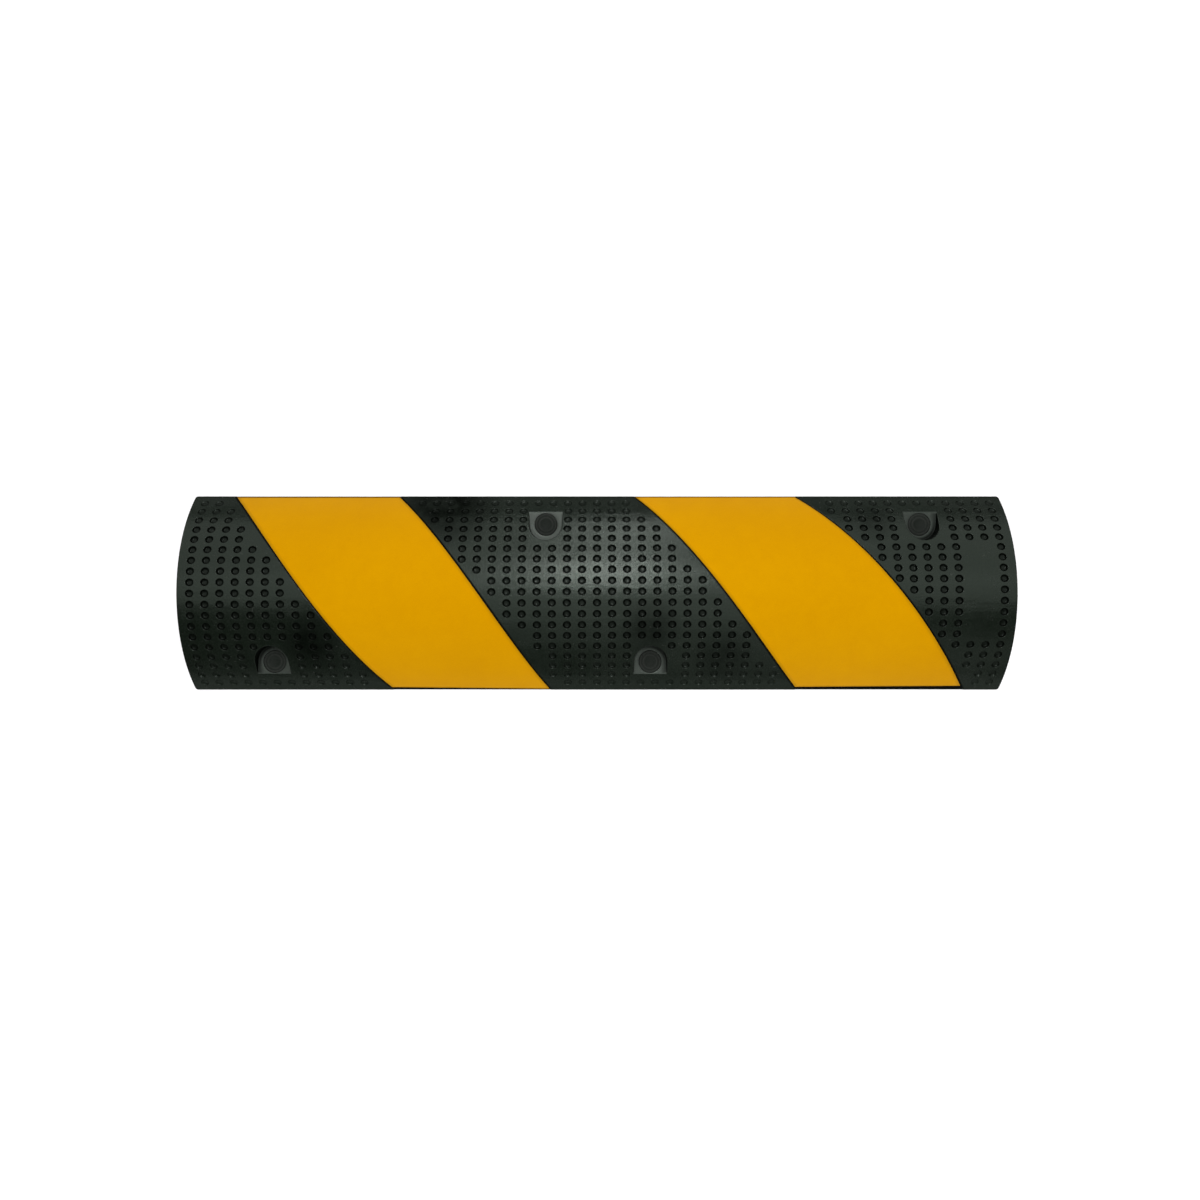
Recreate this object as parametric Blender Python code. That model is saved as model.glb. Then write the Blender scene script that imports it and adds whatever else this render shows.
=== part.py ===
"""Rubber speed bump: moulded rubber arch, two stuck-on reflective stripes,
four moulded-in steel washers and four push-in plugs over the bolt holes.

Frame: +X along the length, +Y across the road hump, +Z up.
Origin at the centre of the flat base.
"""
import bpy
import bmesh
from math import asin, cos, sin, pi, sqrt

# ---------------------------------------------------------------- dimensions
LENGTH = 1.000            # along X
WIDTH = 0.241             # along Y, at the base
HEIGHT = 0.050            # crown above the road
EDGE = 0.0025             # thickness of the long edges
ARC_STEPS = 32            # flat facets across the crown

# each stripe recess's left and right side: X halfway between its two ends, how
# far each end lies from there in X, and how far the side bows towards +X
STRIPE_SIDES = {
    "left": ((-0.3518, 0.0990, 0.0018), (-0.1512, 0.0943, 0.0102)),
    "right": ((0.1467, 0.1012, 0.0065), (0.3514, 0.1050, 0.0139)),
}
RECESS = 0.0010           # depth of the stripe recess
FILM_SINK = 0.0001        # film surface below the rubber surface
GAP = 0.0003              # gap between pieces that touch
FILM_MARGIN = 0.0012      # film's side edges to the sides of its recess
# how far each film stops short of the long edges, along the arc: at the rear,
# and at the front for its left and right corner, where it is cut askew
FILM_REAR = {"left": 0.0018, "right": 0.0014}
FILM_FRONT = {"left": (0.0044, 0.0016), "right": (0.0050, 0.0068)}

BOLTS = {                 # bolt axes (X, Y)
    "rear_mid": (-0.0625, 0.084),
    "rear_right": (0.395, 0.084),
    "front_left": (-0.395, -0.084),
    "front_mid": (0.065, -0.084),
}
POCKET_R = 0.0202         # fixing pocket in the slope: round towards the crown,
POCKET_MOUTH = 0.0416     # with straight sides that run out through the slope
POCKET_FLOOR = 0.0195
SEAT_R = 0.0140           # counterbore for plug and bolt head
WASHER_R = 0.0200
WASHER_HOLE_R = 0.0070
WASHER_LOW, WASHER_HIGH = 0.0040, 0.0070
BOLT_HOLE_R = 0.0070      # for a 12 mm bolt
TURN_STEPS = 40

PLUG_R = SEAT_R - GAP
PLUG_TOP = POCKET_FLOOR - 0.0002
PLUG_CEILING = 0.0158     # underside of the plug's disc
PLUG_BORE_R = 0.0112      # room for a bolt head inside the plug's skirt
PLUG_CHAMFER = 0.0006
DISH_R = 0.0066           # finger dish in the plug's middle
DISH_DEPTH = 0.0012
RIM_R = 0.0106            # raised bead around the dish
BEAD_R = 0.0005

CELLS_X = 10              # weight-saving cells under the crown
CELL_PITCH_X = 0.096
CELL_X, CELL_Y = 0.084, 0.042
CELL_CENTRE_Y = 0.027
CELL_TOP = 0.034
CELL_DRAFT = 0.003        # how far each wall leans in over the cell's height

HALF_W = WIDTH / 2
SAGITTA = HEIGHT - EDGE
RADIUS = (HALF_W ** 2 + SAGITTA ** 2) / (2 * SAGITTA)
CENTRE_Z = HEIGHT - RADIUS
HALF_ANGLE = asin(HALF_W / RADIUS)
HALF_ARC = RADIUS * HALF_ANGLE
SLOPE = 0.100 / HALF_ARC                  # a stripe's X per unit of arc, about


def clear_scene():
    for ob in list(bpy.data.objects):
        bpy.data.objects.remove(ob, do_unlink=True)


def material(name, colour, rough, metal=0.0):
    mat = bpy.data.materials.new(name)
    mat.use_nodes = True
    bsdf = mat.node_tree.nodes["Principled BSDF"]
    bsdf.inputs["Base Color"].default_value = (*colour, 1.0)
    bsdf.inputs["Roughness"].default_value = rough
    bsdf.inputs["Metallic"].default_value = metal
    return mat


def add_object(name, bm, mat=None, location=(0, 0, 0), cutter=False):
    bmesh.ops.recalc_face_normals(bm, faces=bm.faces)
    mesh = bpy.data.meshes.new(name)
    bm.to_mesh(mesh)
    bm.free()
    ob = bpy.data.objects.new(name, mesh)
    bpy.context.scene.collection.objects.link(ob)
    ob.location = location
    if mat:
        mesh.materials.append(mat)
    if cutter:
        ob.hide_render = True
        ob.display_type = "WIRE"
    return ob


def on_arc(angle, radius):
    """(Y, Z) on a circle about the arch's own centre line."""
    return radius * sin(angle), CENTRE_Z + radius * cos(angle)


def stripe_sides(side, angle):
    """X of one stripe's left and right sides where they cross a line along
    the arch: diagonal on the unrolled surface, and slightly bowed."""
    across = angle / HALF_ANGLE
    return tuple(mid - lean * across + bow * (1 - across ** 2)
                 for mid, lean, bow in STRIPE_SIDES[side])


def arch():
    """The arch with both recesses in its crown: one row of points for each
    facet line, which steps down into each recess and up again."""
    bm = bmesh.new()
    sunk = RADIUS - RECESS
    rows = []
    for i in range(ARC_STEPS + 1):
        angle = HALF_ANGLE * (2 * i / ARC_STEPS - 1)
        top = on_arc(angle, RADIUS)
        # a recess runs out through the long edge, so its floor ends at full width
        low = on_arc(angle, sunk)
        if i in (0, ARC_STEPS):
            side = -1 if i == 0 else 1
            top = (side * HALF_W, EDGE)
            low = (side * HALF_W, CENTRE_Z + sqrt(sunk ** 2 - HALF_W ** 2))
        a, b = stripe_sides("left", angle)
        c, d = stripe_sides("right", angle)
        points = [(-LENGTH / 2, top), (a, top), (a, low), (b, low), (b, top),
                  (c, top), (c, low), (d, low), (d, top), (LENGTH / 2, top)]
        rows.append([bm.verts.new((x, *yz)) for x, yz in points])
    for lo, hi in zip(rows, rows[1:]):
        for k in range(len(lo) - 1):
            bm.faces.new((lo[k], lo[k + 1], hi[k + 1], hi[k]))
    # the base has a point under each step of the long edges, so that the thin
    # edges are made of plain upright panels
    feet = []
    for row, side in ((rows[0], -1), (rows[-1], 1)):
        keep = [row[i] for i in (0, 1, 3, 5, 7, 9)]
        foot = [bm.verts.new((v.co.x, side * HALF_W, 0)) for v in keep]
        feet.append(foot)
        (s0, ta, la, lb, tb, tc, lc, ld, td, s1) = row
        fa, fb, fc, fd = foot[1:5]
        for panel in ((foot[0], fa, la), (foot[0], la, s0), (s0, la, ta),
                      (fa, fb, lb, la), (fb, fc, lc, lb), (lb, lc, tc, tb),
                      (fc, fd, ld, lc), (fd, foot[5], ld), (ld, foot[5], s1),
                      (ld, s1, td)):
            bm.faces.new(panel)
    front, rear = feet
    for k in range(5):
        bm.faces.new((front[k], front[k + 1], rear[k + 1], rear[k]))
    bm.faces.new([rear[0], front[0]] + [row[0] for row in rows])
    bm.faces.new([front[5], rear[5]] + [row[-1] for row in reversed(rows)])
    bmesh.ops.triangulate(bm, faces=bm.faces)
    return bm


def film(side):
    """A curved strip that lies in a recess, clear of its floor and sides."""
    bm = bmesh.new()
    r_in, r_out = RADIUS - RECESS + GAP, RADIUS - FILM_SINK
    inset = FILM_MARGIN * sqrt(1 + SLOPE ** 2)
    corners = [-(HALF_ARC - short) / RADIUS for short in FILM_FRONT[side]]
    angles = facet_angles(max(corners), (HALF_ARC - FILM_REAR[side]) / RADIUS)
    rings = []
    for a_left, a_right in [corners] + [(a, a) for a in angles[1:]]:
        left = stripe_sides(side, a_left)[0] + inset
        right = stripe_sides(side, a_right)[1] - inset
        ring = []
        for r, x, a in ((r_in, left, a_left), (r_out, left, a_left),
                        (r_out, right, a_right), (r_in, right, a_right)):
            y, z = on_arc(a, r)
            ring.append(bm.verts.new((x, y, z)))
        rings.append(ring)
    for lo, hi in zip(rings, rings[1:]):
        for k in range(4):
            bm.faces.new((lo[k], lo[(k + 1) % 4], hi[(k + 1) % 4], hi[k]))
    bm.faces.new(rings[0])
    bm.faces.new(list(reversed(rings[-1])))
    return bm


def facet_angles(lo, hi):
    """The arch's own facet lines between two angles, and the two ends."""
    step = 2 * HALF_ANGLE / ARC_STEPS
    inner = [-HALF_ANGLE + i * step for i in range(-1, ARC_STEPS + 2)]
    return [lo] + [a for a in inner if lo + step * 0.02 < a < hi - step * 0.02] + [hi]


def turned(bm, profile, x=0.0, y=0.0, steps=TURN_STEPS):
    """Closed solid of revolution about the vertical line through (x, y).
    The profile starts and ends on the axis (radius 0)."""
    top = bm.verts.new((x, y, profile[0][1]))
    end = bm.verts.new((x, y, profile[-1][1]))
    rings = []
    for r, z in profile[1:-1]:
        rings.append([bm.verts.new((x + r * cos(2 * pi * k / steps),
                                    y + r * sin(2 * pi * k / steps), z))
                      for k in range(steps)])
    for k in range(steps):
        n = (k + 1) % steps
        bm.faces.new((top, rings[0][k], rings[0][n]))
        bm.faces.new((end, rings[-1][n], rings[-1][k]))
        for lo, hi in zip(rings, rings[1:]):
            bm.faces.new((lo[k], hi[k], hi[n], lo[n]))


def ring_solid(r_in, r_out, z_lo, z_hi, bevel, steps=TURN_STEPS):
    """A flat ring with broken edges, as a stamped washer has."""
    section = [(r_in, z_lo + bevel), (r_in, z_hi - bevel),
               (r_in + bevel, z_hi), (r_out - bevel, z_hi),
               (r_out, z_hi - bevel), (r_out, z_lo + bevel),
               (r_out - bevel, z_lo), (r_in + bevel, z_lo)]
    bm = bmesh.new()
    rings = [[bm.verts.new((r * cos(2 * pi * k / steps), r * sin(2 * pi * k / steps), z))
              for k in range(steps)] for r, z in section]
    for i, ring in enumerate(rings):
        nxt = rings[(i + 1) % len(rings)]
        for k in range(steps):
            n = (k + 1) % steps
            bm.faces.new((ring[k], ring[n], nxt[n], nxt[k]))
    return bm


def pocket(x, y):
    """Upright prism: half round towards the crown, straight sides that open
    slightly towards the long edge, and a flat floor."""
    bm = bmesh.new()
    out = 1 if y > 0 else -1
    mouth_y = sqrt(RADIUS ** 2 - (POCKET_FLOOR - CENTRE_Z) ** 2)
    open_out = (POCKET_MOUTH / 2 - POCKET_R) / (mouth_y - abs(y))
    run = 0.028
    half = TURN_STEPS // 2
    outline = [(POCKET_R * cos(pi * k / half), -out * POCKET_R * sin(pi * k / half))
               for k in range(half + 1)]
    far = POCKET_R + open_out * run
    outline += [(-far, out * run), (far, out * run)]
    low, high = ([bm.verts.new((x + px, y + py, z)) for px, py in outline]
                 for z in (POCKET_FLOOR, HEIGHT + 0.010))
    for k in range(len(outline)):
        n = (k + 1) % len(outline)
        bm.faces.new((low[k], low[n], high[n], high[k]))
    bm.faces.new(list(reversed(low)))
    bm.faces.new(high)
    return bm


def cut(ob, cutter):
    mod = ob.modifiers.new("cut_" + cutter.name, "BOOLEAN")
    mod.operation = "DIFFERENCE"
    mod.solver = "EXACT"
    mod.object = cutter


def smooth(ob, angle=0.6):
    ob.data.shade_smooth()
    ob.data.set_sharp_from_angle(angle=angle)


# ------------------------------------------------------------------ the model
def main():
    clear_scene()
    black = material("moulded_black_rubber", (0.030, 0.032, 0.030), 0.62)
    plug_black = material("plug_black_rubber", (0.022, 0.022, 0.022), 0.75)
    yellow = material("yellow_reflective_film", (0.70, 0.33, 0.005), 0.38)
    steel = material("zinc_steel", (0.55, 0.56, 0.57), 0.35, 1.0)

    body = add_object("rubber_body", arch(), black)

    # the fixing pockets, then under each one the bolt-head seat, washer slot
    # and bolt hole, turned as one cutter
    for where, (x, y) in BOLTS.items():
        cut(body, add_object("cutter_pocket_" + where, pocket(x, y), cutter=True))
        bm = bmesh.new()
        turned(bm, [(0, POCKET_FLOOR + 0.0005), (SEAT_R, POCKET_FLOOR + 0.0005),
                    (SEAT_R, WASHER_HIGH + GAP), (WASHER_R + GAP, WASHER_HIGH + GAP),
                    (WASHER_R + GAP, WASHER_LOW - GAP), (BOLT_HOLE_R, WASHER_LOW - GAP),
                    (BOLT_HOLE_R, -0.002), (0, -0.002)], x, y)
        cut(body, add_object("cutter_bolt_" + where, bm, cutter=True))

    # drafted cells moulded into the underside, in two rows under the crown
    bm = bmesh.new()
    for row in (-1, 1):
        for i in range(CELLS_X):
            cx = (i - (CELLS_X - 1) / 2) * CELL_PITCH_X
            cy = row * CELL_CENTRE_Y
            levels = []
            for z, lean in ((-0.002, 0.0), (0.0, 0.0), (CELL_TOP, CELL_DRAFT)):
                hx, hy = CELL_X / 2 - lean, CELL_Y / 2 - lean
                levels.append([bm.verts.new((cx + sx * hx, cy + sy * hy, z))
                               for sx, sy in ((-1, -1), (1, -1), (1, 1), (-1, 1))])
            for lo, hi in zip(levels, levels[1:]):
                for k in range(4):
                    bm.faces.new((lo[k], lo[(k + 1) % 4], hi[(k + 1) % 4], hi[k]))
            bm.faces.new(list(reversed(levels[0])))
            bm.faces.new(levels[-1])
    cut(body, add_object("cutter_cells", bm, cutter=True))
    weld = body.modifiers.new("weld_slivers", "WELD")
    weld.merge_threshold = 0.0001
    smooth(body)

    # the films, lying in their recesses
    for side in STRIPE_SIDES:
        smooth(add_object("reflective_stripe_" + side, film(side), yellow))

    for where, (x, y) in BOLTS.items():
        washer = ring_solid(WASHER_HOLE_R, WASHER_R, WASHER_LOW, WASHER_HIGH, 0.0003)
        smooth(add_object("steel_washer_" + where, washer, steel, (x, y, 0)))

        bm = bmesh.new()
        dish_mid = PLUG_TOP - DISH_DEPTH
        turned(bm, [(0, dish_mid), (DISH_R * 0.55, dish_mid + DISH_DEPTH * 0.18),
                    (DISH_R, PLUG_TOP),
                    (RIM_R - 2 * BEAD_R, PLUG_TOP), (RIM_R - BEAD_R, PLUG_TOP - BEAD_R),
                    (RIM_R, PLUG_TOP),
                    (PLUG_R - PLUG_CHAMFER, PLUG_TOP), (PLUG_R, PLUG_TOP - PLUG_CHAMFER),
                    (PLUG_R, WASHER_HIGH + GAP + PLUG_CHAMFER),
                    (PLUG_R - PLUG_CHAMFER, WASHER_HIGH + GAP),
                    (PLUG_BORE_R, WASHER_HIGH + GAP), (PLUG_BORE_R, PLUG_CEILING),
                    (0, PLUG_CEILING)])
        smooth(add_object("bolt_plug_" + where, bm, plug_black, (x, y, 0)))


main()
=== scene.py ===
"""Looks for the rubber speed bump: a finely modelled rubber body with its
anti-slip dimples, reflective stripes, washers and plugs, riding on the frame.

Metres, +X along the length, +Y towards the back, +Z up, as in the frame.
"""
from math import asin, ceil, cos, hypot, pi, radians, sin, sqrt

import bpy
import numpy as np
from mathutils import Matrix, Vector
from mathutils.geometry import delaunay_2d_cdt


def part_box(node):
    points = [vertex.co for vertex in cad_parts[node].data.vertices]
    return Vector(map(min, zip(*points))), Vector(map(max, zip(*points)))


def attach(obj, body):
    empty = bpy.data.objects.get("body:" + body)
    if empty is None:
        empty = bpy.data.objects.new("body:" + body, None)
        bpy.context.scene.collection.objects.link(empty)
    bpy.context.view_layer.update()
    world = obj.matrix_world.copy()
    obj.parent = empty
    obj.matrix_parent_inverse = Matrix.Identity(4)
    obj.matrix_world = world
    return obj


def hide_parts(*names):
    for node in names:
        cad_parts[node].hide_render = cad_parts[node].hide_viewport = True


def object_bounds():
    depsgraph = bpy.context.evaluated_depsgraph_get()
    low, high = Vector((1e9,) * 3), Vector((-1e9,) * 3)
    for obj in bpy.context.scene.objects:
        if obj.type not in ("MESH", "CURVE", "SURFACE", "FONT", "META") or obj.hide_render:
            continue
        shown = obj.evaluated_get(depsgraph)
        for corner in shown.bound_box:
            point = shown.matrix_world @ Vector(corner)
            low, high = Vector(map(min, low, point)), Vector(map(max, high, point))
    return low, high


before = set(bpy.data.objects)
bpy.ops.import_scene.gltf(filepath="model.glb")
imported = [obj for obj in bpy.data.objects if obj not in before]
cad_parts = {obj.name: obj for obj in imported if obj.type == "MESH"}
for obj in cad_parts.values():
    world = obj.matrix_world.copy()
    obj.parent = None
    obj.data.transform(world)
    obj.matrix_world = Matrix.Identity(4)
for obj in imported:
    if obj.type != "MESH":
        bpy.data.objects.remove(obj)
cad_lo, cad_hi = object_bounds()

MM = 0.001

# ------------------------------------------------ the arch, from the CAD box
LENGTH = cad_hi.x - cad_lo.x
WIDTH = cad_hi.y - cad_lo.y
HEIGHT = cad_hi.z - cad_lo.z
EDGE = 0.0025                       # thickness of the long edges
HALF_L, HALF_W = LENGTH / 2, WIDTH / 2
SAGITTA = HEIGHT - EDGE
RADIUS = (HALF_W ** 2 + SAGITTA ** 2) / (2 * SAGITTA)
CENTRE_Z = HEIGHT - RADIUS
HALF_ANGLE = asin(HALF_W / RADIUS)
HALF_ARC = RADIUS * HALF_ANGLE

# the stripes, as in the CAD
# (X halfway between its ends, lean each way, bow) of each recess's two sides
STRIPE_SIDES = {
    "left": ((-0.3518, 0.0990, 0.0018), (-0.1512, 0.0943, 0.0102)),
    "right": ((0.1467, 0.1012, 0.0065), (0.3514, 0.1050, 0.0139)),
}
SLOPE = 0.100 / HALF_ARC
TILT = sqrt(1 + SLOPE ** 2)         # X per unit of distance square to a stripe
RECESS = 0.0010
FILM_SINK = 0.0001
GAP = 0.0003
FILM_MARGIN = 0.0012
FILM_REAR = {"left": 0.0018, "right": 0.0014}       # short of the long edge
FILM_FRONT = {"left": (0.0044, 0.0016), "right": (0.0050, 0.0068)}  # at its two corners

# the fixings
WHERE = ["rear_mid", "rear_right", "front_left", "front_mid"]
BOLTS = {}
for name in WHERE:
    lo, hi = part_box("bolt_plug_" + name)
    BOLTS[name] = ((lo.x + hi.x) / 2, (lo.y + hi.y) / 2)
POCKET_R = 0.0202
POCKET_MOUTH = 0.0416
POCKET_FLOOR = 0.0195
SEAT_R = 0.0140
WASHER_R = 0.0200
WASHER_HOLE_R = 0.0070
WASHER_LOW, WASHER_HIGH = 0.0040, 0.0070
BOLT_HOLE_R = 0.0070
PLUG_R = SEAT_R - GAP
PLUG_TOP = POCKET_FLOOR - 0.0002
PLUG_CEILING = 0.0158
PLUG_BORE_R = 0.0112

# weight-saving cells under the crown
CELLS_X, CELL_PITCH_X = 10, 0.096
CELL_X, CELL_Y, CELL_CENTRE_Y = 0.084, 0.042, 0.027
CELL_TOP, CELL_DRAFT = 0.034, 0.003

# anti-slip dimples: a lattice on the unrolled top
DIMPLE_PITCH_X, DIMPLE_PITCH_S = 0.01795, 0.0133
DIMPLE_A, DIMPLE_B = 0.0049, 0.0045  # half sizes of the opening
DIMPLE_STEPS = 16
# (outward from the opening, height) in mm, from the lip to near the bottom
DIMPLE_PROFILE = [(0.45, 0.0), (0.22, -0.07), (0.02, -0.32), (-0.14, -0.95),
                  (-0.40, -1.95), (-1.05, -2.80), (-2.70, -3.10)]
# per ring of the profile: a painted highlight and wear on the lip, then painted shade down inside the
# dimple, which darkens the colour and dims its reflection
DIMPLE_LIP = (0.0, 0.5, 0.8, 0.1, 0.0, 0.0, 0.0)
DIMPLE_SHADE = (0.0, 0.1, 0.5, 0.95, 1.0, 0.9, 0.7)
DIMPLE_DEPTH = -3.15
# the rows near the long edges are shallower: row number -> share of the depth
DIMPLE_SHALLOW = {6: 0.95, 7: 0.80, 8: 0.62, 9: 0.42}

# front row -> share of the painted shade in its dimples, less towards the front so more of the light shows
# in them
DIMPLE_FRONT_SHADE = {-5: 0.90, -6: 0.75, -7: 0.65, -8: 0.60, -9: 0.50}

# how much painted shade each pocket's wall and floor get, and how pale its floor is painted: paler rubber
# in every pocket, with painted light besides in the rear-middle one
POCKET_SHADE = {"rear_mid": 0.25, "rear_right": 1.0, "front_left": 1.0, "front_mid": 1.0}
POCKET_PALE_AND_LIT = {"rear_mid": 1.0, "rear_right": 0.50, "front_left": 0.50, "front_mid": 0.55}
# dark patches painted on the rubber, darker and less glossy: centre, radius, strength; the first, at the
# rear left of the middle, is painted shade of the lighting
DARK_PATCHES = [((-0.185, 0.108, 0.013), 0.070, 1.00), ((-0.345, -0.060, 0.040), 0.040, 0.85),
          ((0.064, -0.043, 0.045), 0.040, 0.70), ((0.152, -0.078, 0.032), 0.040, 0.55),
          ((0.335, 0.085, 0.028), 0.030, 0.45)]

EDGE_ROUND = 0.0012


def arc(x, s, n=0.0):
    """A point above the unrolled position (x, s), n out from the top."""
    a = s / RADIUS
    return (x, (RADIUS + n) * sin(a), CENTRE_Z + (RADIUS + n) * cos(a))


def arc_normal(s):
    return (0.0, sin(s / RADIUS), cos(s / RADIUS))


def arch_z(y, n=0.0):
    y = max(-HALF_W, min(HALF_W, y))
    return CENTRE_Z + sqrt((RADIUS + n) ** 2 - y * y)


def s_of(y):
    return RADIUS * asin(max(-1.0, min(1.0, y / RADIUS)))


def stripe_sides(side, s):
    across = s / HALF_ARC
    return tuple(mid - lean * across + bow * (1 - across ** 2)
                 for mid, lean, bow in STRIPE_SIDES[side])


def smooth_min(a, b, k):
    return (a + b - sqrt((a - b) ** 2 + k * k)) / 2


# ------------------------------------------------------------ mesh gathering
class Sheet:
    """Vertices, faces, known normals and paint masks of one mesh."""

    def __init__(self):
        self.co, self.faces, self.normal = [], [], {}
        # paint masks: lip is a painted highlight and wear, deep is painted shade, floor is a paler pocket
        # floor and partly painted light
        self.lip, self.deep, self.floor = {}, {}, {}

    def vert(self, p, normal=None, lip=0.0, deep=0.0, floor=0.0):
        self.co.append(tuple(p))
        i = len(self.co) - 1
        if normal is not None:
            self.normal[i] = normal
        if lip:
            self.lip[i] = lip
        if deep:
            self.deep[i] = deep
        if floor:
            self.floor[i] = floor
        return i

    def strip(self, a, b, closed=True):
        """Quads from ring a to ring b; with a outside b seen from above and
        both running anticlockwise, the faces look up."""
        n = len(a)
        for k in range(n if closed else n - 1):
            m = (k + 1) % n
            self.faces.append((a[k], a[m], b[m], b[k]))

    def fan(self, ring, tip):
        for k in range(len(ring)):
            self.faces.append((ring[k], ring[(k + 1) % len(ring)], tip))

    def build(self, name, sharp=50, mat=None):
        mesh = bpy.data.meshes.new(name)
        mesh.from_pydata(self.co, [], self.faces)
        mesh.validate(verbose=False)
        mesh.update()
        for key, values in (("lip", self.lip), ("deep", self.deep), ("floor", self.floor)):
            data = np.zeros(len(mesh.vertices), np.float32)
            for i, v in values.items():
                data[i] = v
            mesh.attributes.new(key, "FLOAT", "POINT").data.foreach_set("value", data)
        mesh.shade_smooth()
        mesh.set_sharp_from_angle(angle=radians(sharp))
        if self.normal:
            given = np.zeros((len(mesh.vertices), 3))
            for i, v in self.normal.items():
                given[i] = v
            corner = np.zeros(len(mesh.loops), np.int32)
            mesh.loops.foreach_get("vertex_index", corner)
            mesh.normals_split_custom_set([tuple(v) for v in given[corner]])
        ob = bpy.data.objects.new(name, mesh)
        bpy.context.scene.collection.objects.link(ob)
        if mat:
            mesh.materials.append(mat)
        return ob


def triangulate(points, loops):
    """Triangles of a flat set of points in metres, with the edges of each
    loop (lists of point numbers) kept. The caller drops those it doesn't want."""
    edges = [(loop[k], loop[(k + 1) % len(loop)]) for loop in loops for k in range(len(loop))]
    verts, _, tris, orig, _, _ = delaunay_2d_cdt(
        [Vector((x * 1000, y * 1000)) for x, y in points], edges, [], 0, 1e-6)
    if len(verts) != len(points):
        odd = [(round(v.x, 2), round(v.y, 2)) for v, o in zip(verts, orig) if len(o) != 1]
        raise ValueError(f"the outline points cross or repeat at {odd[:12]}")
    back = [o[0] for o in orig]
    return [tuple(back[i] for i in t) for t in tris]


def inside(px, py, poly):
    """Even-odd test of many points against one polygon."""
    poly = np.asarray(poly)
    x1, y1 = poly[:, 0], poly[:, 1]
    x2, y2 = np.roll(x1, -1), np.roll(y1, -1)
    hit = np.zeros(len(px), bool)
    for a, b, c, d in zip(x1, y1, x2, y2):
        if b == d:
            continue
        cross = (b > py) != (d > py)
        hit ^= cross & (px < (c - a) * (py - b) / (d - b) + a)
    return hit


def near_line(px, py, line):
    """Distance from many points to a polyline."""
    line = np.asarray(line, float)
    best = np.full(len(px), 1e9)
    for (ax, ay), (bx, by) in zip(line[:-1], line[1:]):
        dx, dy = bx - ax, by - ay
        t = np.clip(((px - ax) * dx + (py - ay) * dy) / max(dx * dx + dy * dy, 1e-18), 0, 1)
        best = np.minimum(best, np.hypot(px - ax - t * dx, py - ay - t * dy))
    return best


# --------------------------------------------------------- fixing pockets' plan
MOUTH_Y = sqrt(RADIUS ** 2 - (POCKET_FLOOR - CENTRE_Z) ** 2)


def pocket_outline(bx, by):
    """Plan points of a pocket's outline with outward directions,
    anticlockwise: half round towards the crown, straight to the mouth."""
    out = 1 if by > 0 else -1
    deep = MOUTH_Y - abs(by)
    half_mouth = POCKET_MOUTH / 2
    pts = []
    steps = 28
    for k in range(steps + 1):
        a = pi * k / steps
        pts.append((POCKET_R * cos(a), -POCKET_R * sin(a)))
    corner = 0.0012
    for t in (0.3, 0.6, 0.82):
        pts.append((-(POCKET_R + (half_mouth - POCKET_R) * t), deep * t))
    pts.append((-half_mouth + 0.0, deep - corner))
    pts.append((-half_mouth + corner * 0.29, deep - corner * 0.29))
    pts.append((-half_mouth + corner, deep))
    left = list(pts[steps + 1:])
    across = [(-half_mouth + corner + (2 * half_mouth - 2 * corner) * t, deep)
              for t in np.linspace(0, 1, 14)[1:-1]]
    pts += across
    pts += [(-x, y) for x, y in reversed(left)]
    # towards the mouth is +y here; mirror for the front pockets
    pts = [(bx + x, by + out * y) for x, y in pts]
    area = sum(a[0] * b[1] - b[0] * a[1] for a, b in zip(pts, pts[1:] + pts[:1]))
    if area < 0:
        pts.reverse()
    dirs = []
    n = len(pts)
    for i in range(n):
        (ax, ay), (cx, cy) = pts[i - 1], pts[(i + 1) % n]
        tx, ty = cx - ax, cy - ay
        length = hypot(tx, ty)
        dirs.append((ty / length, -tx / length))
    return pts, dirs


# ------------------------------------------------------------ anti-slip lattice
KEEP_OFF_STRIPE = 0.0110
KEEP_OFF_POCKET = 0.0063
# the rows lie a little askew to the long edges, most of all on the crown
SKEW_START, SKEW_STEP = 0.0019, 0.000092
# some are set a little away from a pocket or a stripe
MOVED = {(-23, -5): (-0.0006, 0.0004), (-2, 7): (0.0006, 0.0), (-2, 8): (0.0008, 0.0),
         (20, 1): (0.0011, 0.0008)}
ADDED = {(-19, -2), (-18, -4), (-10, 5), (-9, 3), (-2, 7), (-2, 8), (10, -4),
         (17, 6), (19, 3), (20, 1), (22, -2), (23, -4)}
LEFT_OUT = {(-21, -5), (21, 5), (-5, -4), (-4, -6), (6, 3)}
BLANK = (24.5, 26.5, -4.5, 4.5)          # plain patch near the right end


def lattice(k, j):
    s = j * DIMPLE_PITCH_S
    return (k * DIMPLE_PITCH_X,
            s + (SKEW_START + SKEW_STEP * k) * (1 - (s / HALF_ARC) ** 2))


def dimple_centre(k, j):
    x, s = lattice(k, j)
    dx, ds = MOVED.get((k, j), (0, 0))
    return x + dx, s + ds


def dimple_places():
    outlines = [pocket_outline(*BOLTS[name])[0] for name in WHERE]
    outlines = [[(x, s_of(y)) for x, y in o] for o in outlines]
    places = []
    for k in range(-27, 28):
        for j in range(-9, 10):
            x, s = dimple_centre(k, j)
            if BLANK[0] < k < BLANK[1] and BLANK[2] < j < BLANK[3]:
                continue
            clear = True
            for side in STRIPE_SIDES:
                left, right = stripe_sides(side, s)
                if left - KEEP_OFF_STRIPE * TILT < x < right + KEEP_OFF_STRIPE * TILT:
                    clear = False
            for o in outlines:
                if abs(x - o[0][0]) > 0.08:
                    continue
                px, py = np.array([x]), np.array([s])
                if inside(px, py, o)[0]:
                    clear = False
                elif near_line(px, py, o + o[:1])[0] < KEEP_OFF_POCKET and (k, j) not in MOVED:
                    clear = False
            if clear and (k, j) not in LEFT_OUT or (k, j) in ADDED:
                places.append((k, j))
    return places


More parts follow.
